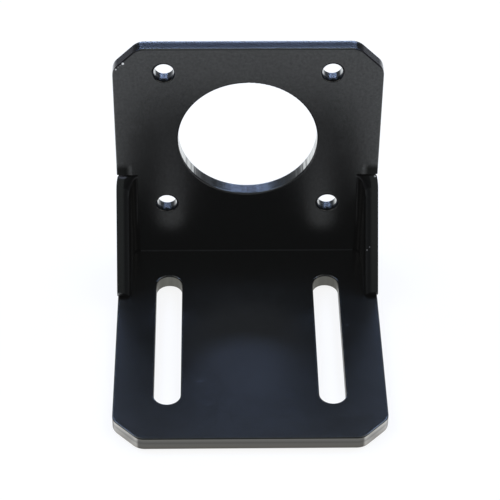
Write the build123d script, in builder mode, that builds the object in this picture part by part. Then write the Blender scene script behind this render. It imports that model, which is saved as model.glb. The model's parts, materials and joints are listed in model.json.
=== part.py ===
"""Motor mounting bracket: one aluminium sheet, blanked and then folded.

A plate with a pilot bore and four screw holes stands at the back of a slotted base.
A triangular ear, folded forward from each side of the plate, braces the corner.

Frame: millimetres, +Z up, +X to the right seen from the front, -Y to the front.
The origin is on the underside of the base, midway between its sides and midway between its front edge
and the back of the plate.
"""

import os

from build123d import *

# Sheet and folds
sheet = 2.3  # thickness
fold_inside = 0.35  # inside radius of the main fold
ear_fold_inside = 1.2  # inside radius of the ears' folds
edge_round = 0.25  # rounding on the blanked outline and on the front and top rims of the holes
rim_break = 0.1  # 45 degree break on the holes' rims at the back and underneath

# Outline
width = 41.9  # across the plate and the base
depth = 45.0  # back of the plate to the front edge of the base
corner_cut = 4.0  # 45 degree cut on the four free corners
corner_round = 2.5  # rounding where a corner cut meets the edges beside it

# Motor side: a 35 mm frame motor with its pilot boss and four M3 screws
motor_height = 25.5  # motor axis above the underside of the base
plate_above_motor = 17.5  # motor axis to the top of the plate
pilot_bore = 22.0  # diameter
screw_pitch = 26.0  # side of the square on which the screw holes stand
screw_hole = 3.2  # diameter

# Base side: two slots that run front to back
slot_width = 4.15
slot_length = 29.1  # end to end
slot_pitch = 25.4  # between the slots' centre lines
slot_margin = 7.3  # front edge of the base to the front ends of the slots

# Ears
ear_rise = 15.8  # top of the base to the top of an ear
ear_reach = 11.4  # front of the plate to the nose of an ear
ear_nose = 0.5  # height of an ear's blunt front end
ear_proud = 0.1  # how far an ear's outer face stands outside the plate's side
ear_roll = 1.3  # rounding of an ear's sloping edge towards the inside
slit = 0.35  # cut in the plate's side above each ear

# Places worked out from these
back = depth / 2
front = -depth / 2
height = motor_height + plate_above_motor  # underside of the base to the top of the plate
plate_front = back - sheet
fold_outside = fold_inside + sheet
ear_fold_outside = ear_fold_inside + sheet
ear_bottom = fold_outside  # an ear starts where the main fold ends, clear of the base
ear_top = sheet + ear_rise
ear_tip = plate_front - ear_reach
ear_face = width / 2 + ear_proud
ear_fold = ear_face - ear_fold_outside  # where the flat of the plate ends and an ear's fold begins
ear_flat = back - ear_fold_outside  # where the fold ends and the flat of an ear begins
slot_centre = front + slot_margin + slot_length / 2

# Right-hand ear: the plan of its fold, as tall as the ear, trimmed to the ear's side view
with BuildPart() as ear:
    with BuildSketch(Plane.XY.offset(ear_bottom)):
        with BuildLine():
            Line((ear_fold, plate_front), (ear_fold, back))
            RadiusArc((ear_fold, back), (ear_face, ear_flat), ear_fold_outside)
            Polyline(
                (ear_face, ear_flat),
                (ear_face, ear_tip),
                (ear_face - sheet, ear_tip),
                (ear_face - sheet, ear_flat),
            )
            RadiusArc((ear_face - sheet, ear_flat), (ear_fold, plate_front), -ear_fold_inside)
        make_face()
    extrude(amount=ear_top - ear_bottom)
    with BuildSketch(Plane.YZ):
        with BuildLine():
            Polyline(
                (back, ear_bottom),
                (back, ear_top),
                (plate_front, ear_top),
                (ear_tip, ear_bottom + ear_nose),
                (ear_tip, ear_bottom),
                close=True,
            )
        make_face()
    extrude(amount=ear_face, mode=Mode.INTERSECT)
    sloping_face = ear.faces().filter_by(lambda f: f.normal_at().Y < -0.1 and f.normal_at().Z > 0.1)
    sloping_rims = sloping_face.edges().filter_by(Axis.X, reverse=True).sort_by(Axis.X)
    fillet(sloping_rims[:2], ear_roll)

with BuildPart() as bracket:
    # The folded sheet: its side view, as wide as the bracket
    with BuildSketch(Plane.YZ) as side_view:
        with BuildLine():
            Polyline(
                (front, 0),
                (back, 0),
                (back, height),
                (plate_front, height),
                (plate_front, sheet),
                (front, sheet),
                close=True,
            )
        make_face()
        fillet(side_view.vertices().sort_by_distance((back, 0))[0], fold_outside)
        fillet(side_view.vertices().sort_by_distance((plate_front, sheet))[0], fold_inside)
    extrude(amount=width / 2, both=True)

    # Corner cuts: two at the top of the plate, two at the front of the base
    plate_corners = bracket.edges().filter_by(Axis.Y).group_by(Axis.Z)[-1]
    base_corners = bracket.edges().filter_by(Axis.Z).group_by(Axis.Y)[0]
    chamfer(plate_corners + base_corners, corner_cut)
    cut_ends = bracket.edges().filter_by(Axis.Y).filter_by(lambda e: e.center().Z > fold_outside)
    cut_ends += bracket.edges().filter_by(Axis.Z).filter_by(lambda e: e.center().Y < plate_front)
    fillet(cut_ends, corner_round)

    # Rounding on the outline, apart from the lines through the sheet and the lines where the fold begins
    through_sheet = bracket.edges().filter_by(Axis.Y).filter_by(lambda e: e.center().Z > fold_outside)
    through_sheet += bracket.edges().filter_by(Axis.Z).filter_by(lambda e: e.center().Y < plate_front)
    fold_lines = bracket.edges().filter_by(Axis.X).filter_by(lambda e: e.length > width - corner_cut)
    fillet(bracket.edges() - through_sheet - fold_lines, edge_round)

    # Pilot bore and screw holes, through the plate: rims rolled at the front, where the punch goes in
    with BuildSketch(Plane.XZ.offset(-back)):
        with Locations((0, motor_height)):
            Circle(pilot_bore / 2)
            with GridLocations(screw_pitch, screw_pitch, 2, 2):
                Circle(screw_hole / 2)
    extrude(amount=sheet, mode=Mode.SUBTRACT)
    plate_rims = bracket.edges(Select.LAST).group_by(Axis.Y)
    chamfer(plate_rims[-1], rim_break)
    fillet(plate_rims[0], edge_round)

    # Slots, through the base: rims rolled on top
    with BuildSketch(Plane.XY):
        with Locations((0, slot_centre)):
            with GridLocations(slot_pitch, 0, 2, 1):
                SlotOverall(slot_length, slot_width, rotation=90)
    extrude(amount=sheet, mode=Mode.SUBTRACT)
    slot_rims = bracket.edges(Select.LAST).group_by(Axis.Z)
    chamfer(slot_rims[0], rim_break)
    fillet(slot_rims[-1], edge_round)

    # The plate's sides are cut back beside the ears and for the slits above them
    with BuildSketch(Plane.XZ.offset(-back)):
        with Locations((0, (sheet + ear_top + slit) / 2)):
            with GridLocations(2 * ear_fold + ear_fold_outside, 0, 2, 1):
                Rectangle(ear_fold_outside, ear_top + slit - sheet)
    extrude(amount=sheet + fold_inside, mode=Mode.SUBTRACT)

    add(ear.part)
    mirror(ear.part, about=Plane.YZ)

bracket.part.label = "bracket"
os.makedirs("parts", exist_ok=True)
export_step(bracket.part, "parts/bracket.step")
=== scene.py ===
"""Looks of a motor mounting bracket: a folded aluminium sheet, anodised black, on a white table in soft light."""

import json
import math

import bpy
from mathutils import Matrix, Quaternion, Vector


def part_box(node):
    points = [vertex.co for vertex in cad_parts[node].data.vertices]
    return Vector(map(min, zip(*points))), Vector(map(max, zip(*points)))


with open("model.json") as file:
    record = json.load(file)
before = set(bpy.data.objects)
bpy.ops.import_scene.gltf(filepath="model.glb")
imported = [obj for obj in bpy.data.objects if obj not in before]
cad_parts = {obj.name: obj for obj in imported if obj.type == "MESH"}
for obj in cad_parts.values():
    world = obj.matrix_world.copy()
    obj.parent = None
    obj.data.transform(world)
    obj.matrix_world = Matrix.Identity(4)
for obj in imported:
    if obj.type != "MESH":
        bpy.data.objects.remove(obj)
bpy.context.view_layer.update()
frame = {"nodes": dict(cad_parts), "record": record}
scene = bpy.context.scene
bracket = frame["nodes"]["bracket"]
mounts = {mount["name"]: mount for mount in frame["record"]["mounts"]}

MM = 0.001

# Sizes in mm, from the part's own box and mounts. x runs across the bracket, y back from its front, z up.
low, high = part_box("bracket")
ear_face = high[0] / MM
back = high[1] / MM
plate_front = mounts["plate_front_face"]["pos_m"][1] / MM
sheet = back - plate_front
motor_height = mounts["motor_pilot"]["pos_m"][2] / MM
bore_radius = mounts["motor_pilot"]["dims"]["r_mm"]
screw_side = mounts["motor_screws"]["dims"]["spacing_x_mm"] / 2
screw_radius = mounts["motor_screws"]["dims"]["hole_r_mm"]
slot_side, slot_middle = (value / MM for value in mounts["base_slot_right"]["pos_m"][:2])
slot_radius = mounts["base_slot_right"]["dims"]["hole_r_mm"]
slot_straight = mounts["base_slot_right"]["dims"]["slot_length_mm"] / 2 - slot_radius

# Sizes in mm that no mount gives: the folds' inside radii, the top of the ears, and the slit above them
fold_inside = 0.35
ear_fold_inside = 1.2
ear_top = 18.1
slit_top = ear_top + 0.35
# A hair's breadth, so that a face right at a limit falls on its proper side
HAIR = 0.01


def linear(code):
    """An sRGB hex colour as linear red, green, blue and alpha."""
    parts = [int(code[i : i + 2], 16) / 255 for i in (1, 3, 5)]
    return [p / 12.92 if p <= 0.04045 else ((p + 0.055) / 1.055) ** 2.4 for p in parts] + [1.0]


def pattern_scale(size_mm):
    """The scale at which a pattern's features are about this size."""
    return 1 / (size_mm * MM)


def node(tree, kind, inputs=None, **settings):
    """Adds a node. inputs gives its sockets a value or another node's output, and settings are its own."""
    made = tree.nodes.new("ShaderNode" + kind)
    for name, value in settings.items():
        setattr(made, name, value)
    for name, value in (inputs or {}).items():
        if isinstance(value, bpy.types.NodeSocket):
            tree.links.new(value, made.inputs[name])
        else:
            made.inputs[name].default_value = value
    return made


# Black anodised aluminium: rolled sheet, blanked and folded, then etched matt and dyed. That gives a dark metal with
# a soft sheen and a fine tooth. The sheared edges carry the shear's bands along them and are painted greyer than the
# faces, a painted reflection of the bright table, and the punched walls of the holes are burnished nearly smooth.
anodised = bpy.data.materials.new("black_anodised_aluminium")
anodised.use_nodes = True
tree = anodised.node_tree
shader = tree.nodes["Principled BSDF"]

coordinates = node(tree, "TexCoord").outputs
place = coordinates["Object"]
facing = node(tree, "SeparateXYZ", {0: coordinates["Normal"]}).outputs
place_mm = node(tree, "VectorMath", {0: place, "Scale": 1 / MM}, operation="SCALE").outputs["Vector"]
axes = node(tree, "SeparateXYZ", {0: place_mm}).outputs
across = node(tree, "Math", {0: axes["X"]}, operation="ABSOLUTE").outputs[0]

# How deep a point lies in the sheet in mm, from 0 at the inside face: along the base, the main fold and the plate
fold_centre_y = plate_front - fold_inside
fold_centre_z = sheet + fold_inside
past_y = node(tree, "Math", {0: axes["Y"], 1: fold_centre_y}, operation="SUBTRACT").outputs[0]
past_z = node(tree, "Math", {0: fold_centre_z, 1: axes["Z"]}, operation="SUBTRACT").outputs[0]
past_y = node(tree, "Math", {0: past_y, 1: 0.0}, operation="MAXIMUM").outputs[0]
past_z = node(tree, "Math", {0: past_z, 1: 0.0}, operation="MAXIMUM").outputs[0]
past = node(tree, "CombineXYZ", {0: past_y, 1: past_z}).outputs[0]
fold_distance = node(tree, "VectorMath", {0: past}, operation="LENGTH").outputs["Value"]
main_depth = node(tree, "Math", {0: fold_distance, 1: fold_inside}, operation="SUBTRACT").outputs[0]

# ... and in an ear and its fold
ear_centre_x = ear_face - sheet - ear_fold_inside
ear_centre_y = back - sheet - ear_fold_inside
out_x = node(tree, "Math", {0: across, 1: ear_centre_x}, operation="SUBTRACT").outputs[0]
out_y = node(tree, "Math", {0: axes["Y"], 1: ear_centre_y}, operation="SUBTRACT").outputs[0]
out_x = node(tree, "Math", {0: out_x, 1: 0.0}, operation="MAXIMUM").outputs[0]
out_y = node(tree, "Math", {0: out_y, 1: 0.0}, operation="MAXIMUM").outputs[0]
out = node(tree, "CombineXYZ", {0: out_x, 1: out_y}).outputs[0]
ear_distance = node(tree, "VectorMath", {0: out}, operation="LENGTH").outputs["Value"]
ear_depth = node(tree, "Math", {0: ear_distance, 1: ear_fold_inside}, operation="SUBTRACT").outputs[0]

ear_limit = ear_top + 0.1
beside = node(tree, "Math", {0: across, 1: ear_centre_x}, operation="GREATER_THAN").outputs[0]
above_base = node(tree, "Math", {0: axes["Z"], 1: fold_centre_z - HAIR}, operation="GREATER_THAN").outputs[0]
under_top = node(tree, "Math", {0: axes["Z"], 1: ear_limit}, operation="LESS_THAN").outputs[0]
in_ear = node(tree, "Math", {0: beside, 1: above_base}, operation="MULTIPLY").outputs[0]
in_ear = node(tree, "Math", {0: in_ear, 1: under_top}, operation="MULTIPLY").outputs[0]
depth = node(tree, "Mix", {"Factor": in_ear, "A": main_depth, "B": ear_depth}).outputs[0]

# Sheared edges and hole walls lie inside the thickness of the sheet, the faces don't. The rounding of an edge, in mm
# in from the face, is where one turns into the other.
rounding_start, rounding_end = 0.005, 0.14
rounding = {"From Min": sheet / 2 - rounding_start, "From Max": sheet / 2 - rounding_end}
from_middle = node(tree, "Math", {0: depth, 1: sheet / 2}, operation="SUBTRACT").outputs[0]
from_middle = node(tree, "Math", {0: from_middle}, operation="ABSOLUTE").outputs[0]
edge = node(tree, "MapRange", {"Value": from_middle, **rounding}, interpolation_type="SMOOTHSTEP").outputs[0]

# How far a point lies outside the pilot bore and the screw holes in the plate, or the slots in the base
height = node(tree, "Math", {0: axes["Z"], 1: motor_height}, operation="SUBTRACT").outputs[0]
height_side = node(tree, "Math", {0: height}, operation="ABSOLUTE").outputs[0]
from_axis = node(tree, "CombineXYZ", {0: across, 1: height_side}).outputs[0]
bore_gap = node(tree, "VectorMath", {0: from_axis}, operation="LENGTH").outputs["Value"]
bore_gap = node(tree, "Math", {0: bore_gap, 1: bore_radius}, operation="SUBTRACT").outputs[0]
screw_axis = (screw_side, screw_side, 0)
screw_gap = node(tree, "VectorMath", {0: from_axis, 1: screw_axis}, operation="DISTANCE").outputs["Value"]
screw_gap = node(tree, "Math", {0: screw_gap, 1: screw_radius}, operation="SUBTRACT").outputs[0]
along = node(tree, "Math", {0: axes["Y"], 1: slot_middle}, operation="SUBTRACT").outputs[0]
along = node(tree, "Math", {0: along}, operation="ABSOLUTE").outputs[0]
along = node(tree, "Math", {0: along, 1: slot_straight}, operation="SUBTRACT").outputs[0]
along = node(tree, "Math", {0: along, 1: 0.0}, operation="MAXIMUM").outputs[0]
from_slot = node(tree, "CombineXYZ", {0: across, 1: along}).outputs[0]
slot_axis = (slot_side, 0, 0)
slot_gap = node(tree, "VectorMath", {0: from_slot, 1: slot_axis}, operation="DISTANCE").outputs["Value"]
slot_gap = node(tree, "Math", {0: slot_gap, 1: slot_radius}, operation="SUBTRACT").outputs[0]
plate_gap = node(tree, "Math", {0: bore_gap, 1: screw_gap}, operation="MINIMUM").outputs[0]
in_base = node(tree, "Math", {0: axes["Z"], 1: sheet + HAIR}, operation="LESS_THAN").outputs[0]
hole_gap = node(tree, "Mix", {"Factor": in_base, "A": plate_gap, "B": slot_gap}).outputs[0]

# The walls of the holes are the edges within 0.3 mm of a hole's outline
wall_reach = 0.3
in_bore = node(tree, "Math", {0: bore_gap, 1: 0.0, 2: wall_reach}, operation="COMPARE").outputs[0]
wall = node(tree, "Math", {0: hole_gap, 1: 0.0, 2: wall_reach}, operation="COMPARE").outputs[0]
wall = node(tree, "Math", {0: wall, 1: edge}, operation="MULTIPLY").outputs[0]

# Tooth of the etched faces: real grit is about 0.05 mm, drawn at 0.45 mm so that it shows
tooth_look = {"Vector": place, "Scale": pattern_scale(0.45), "Detail": 4.0, "Roughness": 0.7}
tooth = node(tree, "TexNoise", tooth_look).outputs[0]
# Slow waviness of rolled sheet, and cloudiness of the dye, a few millimetres across
cloud_look = {"Vector": place, "Scale": pattern_scale(3.5), "Detail": 4.0, "Roughness": 0.6}
clouds = node(tree, "TexNoise", cloud_look).outputs[0]
# Streaks that the punch left on the walls, along its stroke: real ones are about 0.1 mm wide, drawn at 0.8 mm so
# that they show
base_stroke = node(tree, "VectorMath", {0: place, 1: (1, 1, 0)}, operation="MULTIPLY").outputs["Vector"]
plate_stroke = node(tree, "VectorMath", {0: place, 1: (1, 0, 1)}, operation="MULTIPLY").outputs["Vector"]
stroke = node(tree, "Mix", {"Factor": in_base, 4: plate_stroke, 5: base_stroke}, data_type="VECTOR").outputs[1]
streak_look = {"Vector": stroke, "Scale": pattern_scale(0.8), "Detail": 2.0, "Roughness": 0.6}
streaks = node(tree, "TexNoise", streak_look).outputs[0]

# The punch rolled the sheet over a little at the mouths of the screw holes
mouth_width, mouth_depth, plate_start = 0.35, 0.95, sheet + 1.0
mouth = node(tree, "MapRange", {"Value": screw_gap, "From Min": mouth_width, "From Max": 0.0}).outputs[0]
near_face = node(tree, "MapRange", {"Value": depth, "From Min": mouth_depth, "From Max": 0.0}).outputs[0]
on_plate = node(tree, "Math", {0: axes["Z"], 1: plate_start}, operation="GREATER_THAN").outputs[0]
mouth = node(tree, "Math", {0: mouth, 1: near_face}, operation="MULTIPLY").outputs[0]
mouth = node(tree, "Math", {0: mouth, 1: on_plate}, operation="MULTIPLY").outputs[0]
rolled = node(tree, "Math", {0: mouth, 1: 2.0}, operation="POWER").outputs[0]

# Etched faces: the tooth is a little darker in its hollows
tooth_contrast = 1.6
tooth_base = (1 - tooth_contrast) / 2
tint = node(tree, "Math", {0: tooth, 1: tooth_contrast, 2: tooth_base}, operation="MULTIPLY_ADD").outputs[0]
face_tints = {"Factor": tint, "A": linear("#373838"), "B": linear("#535454")}
face_colour = node(tree, "Mix", face_tints, data_type="RGBA").outputs[2]

# Sheared edges, banded from the inside face to the outside one, by share of the thickness: the shear's smooth cut,
# a dark line where it stopped, and the broken rest, all painted pale as a painted reflection of the bright table. The
# edges that face up are painted darker, as painted shade, with painted highlights: a faint line near the inside and a
# pale outer corner.
SHEAR_BANDS_AND_REFLECTION = (
    (0.10, "#6B6A65"),
    (0.22, "#646360"),
    (0.42, "#545350"),
    (0.55, "#63625F"),
    (0.82, "#64625E"),
    (0.95, "#5E5C58"),
)
TOP_SHADE_AND_HIGHLIGHT = (
    (0.06, "#292A27"),
    (0.18, "#32332F"),
    (0.30, "#272825"),
    (0.42, "#20201E"),
    (0.66, "#20201E"),
    (0.78, "#4E4F4B"),
    (0.90, "#7E7F7A"),
)
through = node(tree, "Math", {0: depth, 1: sheet}, operation="DIVIDE").outputs[0]
banded = []
for stops in (SHEAR_BANDS_AND_REFLECTION, TOP_SHADE_AND_HIGHLIGHT):
    ramp = node(tree, "ValToRGB", {0: through})
    elements = ramp.color_ramp.elements
    elements.remove(elements[1])
    elements[0].position = stops[0][0]
    elements[0].color = linear(stops[0][1])
    for share, code in stops[1:]:
        elements.new(share).color = linear(code)
    banded.append(ramp.outputs[0])
shear_bands_and_reflection, top_shade_and_highlight = banded

# From here on a range says where a look starts and where it is full: in mm in from the inside face, or for a face
# that turns, by its slope from 0 to 1
rising = {"From Min": 0.1, "From Max": 0.55}
upward = node(tree, "MapRange", {"Value": facing["Z"], **rising}, interpolation_type="SMOOTHSTEP").outputs[0]
sideways = node(tree, "Math", {0: facing["X"]}, operation="ABSOLUTE").outputs[0]

# The plate's top has a painted highlight, a paler line along its front corner, which ends where the corner cuts
# start. The cuts are painted dark, as painted shade.
CUT_SHADE = linear("#1B1C21")
rim_width = {"From Min": 0.42, "From Max": 0.22}
turning = {"From Min": 0.2, "From Max": 0.02}
slanting = {"From Min": 0.43, "From Max": 0.475}
rim = node(tree, "MapRange", {"Value": depth, **rim_width}).outputs[0]
rim = node(tree, "Math", {0: rim, 1: upward}, operation="MULTIPLY").outputs[0]
rim = node(tree, "Math", {0: rim, 1: on_plate}, operation="MULTIPLY").outputs[0]
straight = node(tree, "MapRange", {"Value": sideways, **turning}).outputs[0]
rim_painted_tints = {"Factor": straight, "A": CUT_SHADE, "B": linear("#6A6A66")}
rim_painted_light = node(tree, "Mix", rim_painted_tints, data_type="RGBA").outputs[2]
plate_cut = node(tree, "Math", {0: sideways, 1: facing["Z"]}, operation="MULTIPLY").outputs[0]
plate_cut = node(tree, "MapRange", {"Value": plate_cut, **slanting}).outputs[0]

# The base's two corner cuts have the same bands, brightened where they face forward, as a painted reflection of the
# bright table
CUT_HIGHLIGHT = 3.9
slanting_front = {"From Min": -0.35, "From Max": -0.45}
base_cut = node(tree, "Math", {0: sideways, 1: facing["Y"]}, operation="MULTIPLY").outputs[0]
base_cut = node(tree, "MapRange", {"Value": base_cut, **slanting_front}).outputs[0]
base_cut = node(tree, "Math", {0: base_cut, 1: in_base}, operation="MULTIPLY").outputs[0]
cut_highlight_bands = node(tree, "VectorMath", {0: shear_bands_and_reflection, "Scale": CUT_HIGHLIGHT}, operation="SCALE").outputs["Vector"]

# The ears' edges are painted dark, as painted shade, more so in the inner part, with a black line of painted shade
# along the inner corner
ear_middle = {"From Min": 0.9, "From Max": 1.4}
ear_corner = {"From Min": 0.35, "From Max": 0.1}
outer = node(tree, "MapRange", {"Value": depth, **ear_middle}).outputs[0]
ear_shade_tints = {"Factor": outer, "A": linear("#2B2C2C"), "B": linear("#3E3F3D")}
ear_edge_shade = node(tree, "Mix", ear_shade_tints, data_type="RGBA").outputs[2]
ear_corner_shade = node(tree, "MapRange", {"Value": depth, **ear_corner}).outputs[0]
ear_shade_tints = {"Factor": ear_corner_shade, "A": ear_edge_shade, "B": linear("#161617")}
ear_edge_shade = node(tree, "Mix", ear_shade_tints, data_type="RGBA").outputs[2]

# Punched walls: streaked, most in the bore, with a painted highlight on the sides of the plate's holes, ragged as the
# streaks go. Their front corner is painted dark, as painted shade.
FAINT_STREAKS, BORE_STREAKS = 0.75, 2.0
SIDE_HIGHLIGHT, RAGGED_HIGHLIGHT = 4.0, 0.9
side_highlight_range = {"From Min": 1.2, "From Max": 1.33, "To Min": 1.0, "To Max": SIDE_HIGHLIGHT}
wall_corner = {"From Min": 0.3, "From Max": 0.12}
wall_tints = {"Factor": in_base, "A": linear("#5A5B59"), "B": linear("#7E7E78")}
wall_colour = node(tree, "Mix", wall_tints, data_type="RGBA").outputs[2]
streak_gain = node(tree, "Mix", {"Factor": in_bore, "A": FAINT_STREAKS, "B": BORE_STREAKS}).outputs[0]
streak_tint = node(tree, "Math", {0: streaks, 1: 0.5}, operation="SUBTRACT").outputs[0]
streak_tint = node(tree, "Math", {0: streak_tint, 1: streak_gain, 2: 1.0}, operation="MULTIPLY_ADD").outputs[0]
wall_side_highlight = node(tree, "Math", {0: streaks, 1: RAGGED_HIGHLIGHT, 2: sideways}, operation="MULTIPLY_ADD").outputs[0]
wall_side_highlight = node(tree, "MapRange", {"Value": wall_side_highlight, **side_highlight_range}).outputs[0]
wall_side_highlight = node(tree, "Mix", {"Factor": in_base, "A": wall_side_highlight, "B": 1.0}).outputs[0]
for gain in (streak_tint, wall_side_highlight):
    wall_colour = node(tree, "VectorMath", {0: wall_colour, "Scale": gain}, operation="SCALE").outputs["Vector"]
wall_corner_shade = node(tree, "MapRange", {"Value": depth, **wall_corner}).outputs[0]
wall_tints = {"Factor": wall_corner_shade, "A": wall_colour, "B": linear("#2A2B2B")}
wall_colour = node(tree, "Mix", wall_tints, data_type="RGBA").outputs[2]

edge_colour = shear_bands_and_reflection
for mask, over in (
    (upward, top_shade_and_highlight),
    (rim, rim_painted_light),
    (in_ear, ear_edge_shade),
    (plate_cut, CUT_SHADE),
    (base_cut, cut_highlight_bands),
    (wall, wall_colour),
):
    edge_colour = node(tree, "Mix", {"Factor": mask, "A": edge_colour, "B": over}, data_type="RGBA").outputs[2]

# The rolled mouths of the screw holes are painted dark, as painted shade
mouth_shade_range = {"From Min": 0.05, "From Max": 0.3}
mouth_shade = node(tree, "MapRange", {"Value": mouth, **mouth_shade_range}).outputs[0]
mouth_shade = node(tree, "Math", {0: mouth_shade, 1: edge}, operation="MULTIPLY").outputs[0]

# The creases on the inside of the folds, 0.08 mm in, are painted darker than the faces beside them, as painted shade
crease_width, crease_shade_strength = 0.08, 0.75
main_crease = node(tree, "Math", {0: past_y, 1: past_z}, operation="MINIMUM").outputs[0]
ear_crease = node(tree, "Math", {0: out_x, 1: out_y}, operation="MINIMUM").outputs[0]
ear_crease = node(tree, "Math", {0: ear_crease, 1: in_ear}, operation="MULTIPLY").outputs[0]
crease_shade = node(tree, "Math", {0: main_crease, 1: ear_crease}, operation="MAXIMUM").outputs[0]
crease_shade = node(tree, "MapRange", {"Value": crease_shade, "From Max": crease_width, "To Max": crease_shade_strength}).outputs[0]
inside = node(tree, "Math", {0: depth, 1: sheet / 2}, operation="LESS_THAN").outputs[0]
crease_shade = node(tree, "Math", {0: crease_shade, 1: inside}, operation="MULTIPLY").outputs[0]

layers = [(edge, edge_colour), (mouth_shade, linear("#1E1F20")), (crease_shade, linear("#101011"))]

# Chips on the left corner cut, a pale streak along the left ear's top and a pale spot at its foot, both painted
# highlights, a painted highlight on the right ear's top outer corner, nicks lower on the right ear and rubs on the
# base: middle and reach in mm, and tint
MARKS_AND_HIGHLIGHTS = (
    ((-19.23, 20.20, 40.34), (0.20, 0.30, 0.20), "#E2E2E2"),
    ((-20.37, 20.21, 39.26), (0.15, 0.22, 0.15), "#BDBDBD"),
    ((-19.97, 20.21, 39.73), (0.09, 0.15, 0.09), "#8A8A8A"),
    ((-19.65, 20.21, 40.01), (0.09, 0.15, 0.09), "#8A8A8A"),
    # Painted highlights: along the left ear's top, on its foot, and on the right ear's top outer corner
    ((-20.12, 20.18, 18.08), (0.75, 0.40, 0.28), "#6C6C76"),
    ((-20.68, 8.80, 2.99), (0.50, 0.25, 0.25), "#A8A8A8"),
    ((20.53, 20.18, 18.07), (0.18, 0.20, 0.18), "#F0F0F0"),
    ((19.67, 13.29, 8.94), (0.11, 0.11, 0.11), "#BDBDBD"),
    ((19.28, 13.14, 8.42), (0.11, 0.11, 0.11), "#BDBDBD"),
    ((-7.66, -10.32, 2.30), (0.60, 0.16, 0.30), "#64666A"),
    ((15.69, 2.04, 2.30), (0.26, 0.16, 0.30), "#85888E"),
    ((5.75, -0.28, 2.30), (0.13, 0.13, 0.30), "#787A80"),
)
# Their outlines are ragged, by the tooth, and fade from 0.7 to 1.2 times the reach
RAGGEDNESS = 0.8
fading = {"From Min": 1.2, "From Max": 0.7}
ragged = node(tree, "Math", {0: tooth, 1: RAGGEDNESS, 2: -RAGGEDNESS / 2}, operation="MULTIPLY_ADD").outputs[0]
for middle, reach, code in MARKS_AND_HIGHLIGHTS:
    mark = node(tree, "VectorMath", {0: place_mm, 1: middle}, operation="SUBTRACT").outputs["Vector"]
    mark = node(tree, "VectorMath", {0: mark, 1: reach}, operation="DIVIDE").outputs["Vector"]
    mark = node(tree, "VectorMath", {0: mark}, operation="LENGTH").outputs["Value"]
    mark = node(tree, "Math", {0: mark, 1: ragged}, operation="ADD").outputs[0]
    mark = node(tree, "MapRange", {"Value": mark, **fading}).outputs[0]
    layers.append((mark, linear(code)))

# The front corner of the plate just above each ear was dragged in when the ear was folded, which the relief shows,
# and is painted dark there as painted shade
dragged_up = {"From Min": slit_top + 2.4, "From Max": slit_top + 1.1}
dragged_out = {"From Min": 18.4, "From Max": 19.4}
front_limit = plate_front + 0.3
slit_limit = slit_top - 0.05
above_slit = node(tree, "MapRange", {"Value": axes["Z"], **dragged_up}, interpolation_type="SMOOTHSTEP").outputs[0]
beyond = node(tree, "MapRange", {"Value": across, **dragged_out}, interpolation_type="SMOOTHSTEP").outputs[0]
on_front = node(tree, "Math", {0: axes["Y"], 1: front_limit}, operation="LESS_THAN").outputs[0]
over_ear = node(tree, "Math", {0: axes["Z"], 1: slit_limit}, operation="GREATER_THAN").outputs[0]
dent_and_shade = above_slit
for limit in (beyond, on_front, over_ear):
    dent_and_shade = node(tree, "Math", {0: dent_and_shade, 1: limit}, operation="MULTIPLY").outputs[0]
layers.append((dent_and_shade, linear("#1B1C1B")))

colour = face_colour
for mask, over in layers:
    colour = node(tree, "Mix", {"Factor": mask, "A": colour, "B": over}, data_type="RGBA").outputs[2]

# Roughness: an even satin. It stays under 0.27, since a pattern that crosses that value comes out speckled.
EDGE_ROUGH, WALL_ROUGH = 0.25, 0.26
face_rough = {"From Min": 0.3, "From Max": 0.7, "To Min": 0.235, "To Max": 0.265}
rough = node(tree, "MapRange", {"Value": clouds, **face_rough}).outputs[0]
rough = node(tree, "Mix", {"Factor": edge, "A": rough, "B": EDGE_ROUGH}).outputs[0]
rough = node(tree, "Mix", {"Factor": wall, "A": rough, "B": WALL_ROUGH}).outputs[0]

# Relief, with each form's rise in mm: the tooth, which the walls don't have, the waviness, the dragged corners and
# the rolled mouths
SMOOTH = 0.5
grain = node(tree, "Mix", {"Factor": wall, "A": tooth, "B": SMOOTH}).outputs[0]
RELIEF = ((grain, 0.006), (clouds, 0.02), (dent_and_shade, -0.06), (rolled, -0.2))
relief = 0.0
for form, rise in RELIEF:
    relief = node(tree, "Math", {0: form, 1: rise, 2: relief}, operation="MULTIPLY_ADD").outputs[0]
bump = node(tree, "Bump", {"Height": relief, "Strength": 1.0, "Distance": MM}).outputs[0]

tree.links.new(colour, shader.inputs["Base Color"])
tree.links.new(rough, shader.inputs["Roughness"])
tree.links.new(bump, shader.inputs["Normal"])
shader.inputs["Metallic"].default_value = 1.0
# A faint glow over the whole surface, painted light, which keeps the deepest folds from going quite black
PAINTED_GLOW = 0.0033
shader.inputs["Emission Color"].default_value = linear("#FFFFFF")
shader.inputs["Emission Strength"].default_value = PAINTED_GLOW
bracket.data.materials.clear()
bracket.data.materials.append(anodised)

# Table: white paper, which shows white to the eye and in the metal, and still takes the bracket's shadow
TABLE_HALF = 1.5
TO_THE_EYE = 0.85
glow_range = {"From Min": 0.1, "From Max": 0.32, "To Min": 0.82, "To Max": 0.2}
corners = [(x * TABLE_HALF, y * TABLE_HALF, 0) for x, y in ((-1, -1), (1, -1), (1, 1), (-1, 1))]
mesh = bpy.data.meshes.new("table")
mesh.from_pydata(corners, [], [(0, 1, 2, 3)])
table = bpy.data.objects.new("table", mesh)
scene.collection.objects.link(table)
paper = bpy.data.materials.new("white_paper")
paper.use_nodes = True
tree = paper.node_tree
tree.nodes.clear()
ray = node(tree, "LightPath").outputs
seen = node(tree, "Math", {0: ray["Is Camera Ray"], 1: ray["Is Glossy Ray"]}, operation="MAXIMUM").outputs[0]
seen = node(tree, "Math", {0: seen, 1: ray["Is Transmission Ray"]}, operation="MAXIMUM").outputs[0]
on_table = node(tree, "TexCoord").outputs["Object"]
away = node(tree, "VectorMath", {0: on_table}, operation="LENGTH").outputs["Value"]
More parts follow.
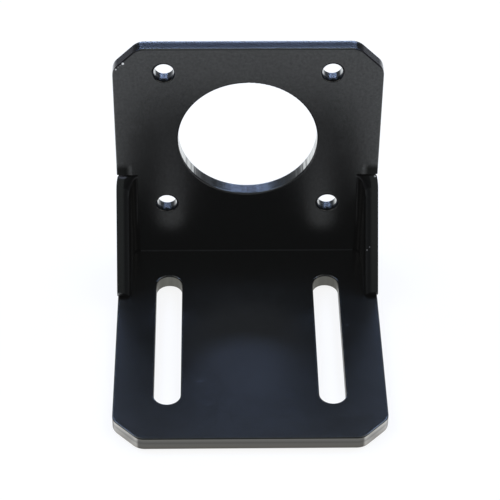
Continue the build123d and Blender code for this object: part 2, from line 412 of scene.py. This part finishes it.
# In the metal the paper shows as a painted pool of light, white near the bracket and greyer further off
mirrored = node(tree, "MapRange", {"Value": away, **glow_range}).outputs[0]
# In the metal the paper shows darker where it lies in the bracket's own shade, under the base ...
shade_range = {"From Min": 0.9, "From Max": 1.05, "To Min": 0.5, "To Max": 1.0}
half_wide = high[0]
half_deep = (high[1] - low[1]) / 2
middle = (0, (high[1] + low[1]) / 2, 0)
off_middle = node(tree, "VectorMath", {0: on_table, 1: middle}, operation="SUBTRACT").outputs[0]
off_middle = node(tree, "VectorMath", {0: off_middle}, operation="ABSOLUTE").outputs[0]
off_middle = node(tree, "VectorMath", {0: off_middle, 1: (half_wide, half_deep, 1)}, operation="DIVIDE").outputs[0]
off_middle = node(tree, "SeparateXYZ", {0: off_middle}).outputs
under = node(tree, "Math", {0: off_middle["X"], 1: off_middle["Y"]}, operation="MAXIMUM").outputs[0]
under = node(tree, "MapRange", {"Value": under, **shade_range}).outputs[0]
# ... and brighter behind the bracket, where most of the light falls
back_range = {"From Min": 0.0, "From Max": 0.03, "To Min": 1.0, "To Max": 1.4}
back_along = node(tree, "SeparateXYZ", {0: on_table}).outputs["Y"]
behind = node(tree, "MapRange", {"Value": back_along, **back_range}).outputs[0]
for gain in (under, behind):
    mirrored = node(tree, "Math", {0: mirrored, 1: gain}, operation="MULTIPLY").outputs[0]
white = node(tree, "Mix", {"Factor": ray["Is Camera Ray"], "A": mirrored, "B": TO_THE_EYE}).outputs[0]
glow = node(tree, "Emission", {"Color": linear("#FFFFFF"), "Strength": white}).outputs[0]
lit = node(tree, "BsdfDiffuse", {"Color": linear("#757575")}).outputs[0]
shown = node(tree, "AddShader", {0: glow, 1: lit}).outputs[0]
plain = node(tree, "BsdfDiffuse", {"Color": linear("#E6E6E6")}).outputs[0]
surface = node(tree, "MixShader", {0: seen, 1: plain, 2: shown}).outputs[0]
node(tree, "OutputMaterial", {"Surface": surface})
table.data.materials.append(paper)

# Room: dim and slightly blue, paler towards the horizon
world = bpy.data.worlds.new("studio")
scene.world = world
world.use_nodes = True
tree = world.node_tree
tree.nodes.clear()
up = node(tree, "SeparateXYZ", {0: node(tree, "TexCoord").outputs["Generated"]}).outputs["Z"]
room_range = {"From Min": 0.0, "From Max": 0.3, "To Min": 0.4, "To Max": 0.2}
level = node(tree, "MapRange", {"Value": up, **room_range}).outputs[0]
room = node(tree, "Background", {"Color": linear("#E4EAF4"), "Strength": level}).outputs[0]
node(tree, "OutputWorld", {"Surface": room})

# Soft panels 1 m from the bracket: bearing clockwise from straight behind and rise from the table in degrees, width
# and depth in metres, brightness and colour. A low strip behind draws the light along the folds and edges.
PANELS = (
    ("strip_behind", 0, 29.2, 0.65, 0.09, 18.0, "#AEC6FF"),
    ("left_behind", -52, 50, 0.53, 0.35, 8.0, "#B4D0FF"),
    ("right_behind", 52, 50, 0.53, 0.35, 7.8, "#B4D0FF"),
    ("over_behind", 0, 66, 0.47, 0.44, 0.6, "#D8E8FF"),
    ("left", -95, 50, 0.5, 0.9, 1.9, "#FFFDF6"),
    ("right", 95, 50, 0.5, 0.9, 1.9, "#FFFBF2"),
    ("in_front", 180, 55, 0.5, 0.7, 0.3, "#F4FFFF"),
)
for name, bearing, rise, width, panel_depth, brightness, code in PANELS:
    turned, raised = math.radians(bearing), math.radians(rise)
    level_part = math.cos(raised)
    towards = Vector((math.sin(turned) * level_part, math.cos(turned) * level_part, math.sin(raised)))
    lamp = bpy.data.lights.new(name, "AREA")
    lamp.shape = "RECTANGLE"
    lamp.size = width
    lamp.size_y = panel_depth
    lamp.energy = brightness * math.pi * width * panel_depth
    lamp.color = linear(code)[:3]
    panel = bpy.data.objects.new(name, lamp)
    panel.location = towards
    panel.rotation_euler = towards.to_track_quat("Z", "Y").to_euler()
    panel.visible_camera = False
    scene.collection.objects.link(panel)

# Camera, over the front of the base: the point it looks at and its distance in mm, a slight tilt and a long lens
AIM = Vector((0.605, 22.5, 0.347))
LOOKS_ALONG = Vector((0.017858, 0.752205, -0.658689))
DISTANCE = 326.1
TILT = 0.62
stand = AIM - DISTANCE * LOOKS_ALONG
lens = bpy.data.cameras.new("camera")
lens.sensor_width = 36.0
lens.lens = 140.15
lens.clip_start = 0.01
lens.clip_end = 10.0
camera = bpy.data.objects.new("camera", lens)
turn = (AIM - stand).to_track_quat("-Z", "Y")
camera.rotation_mode = "QUATERNION"
camera.rotation_quaternion = turn @ Quaternion((0, 0, 1), math.radians(TILT))
camera.location = stand * MM
scene.collection.objects.link(camera)
scene.camera = camera
scene.view_settings.view_transform = "Standard"
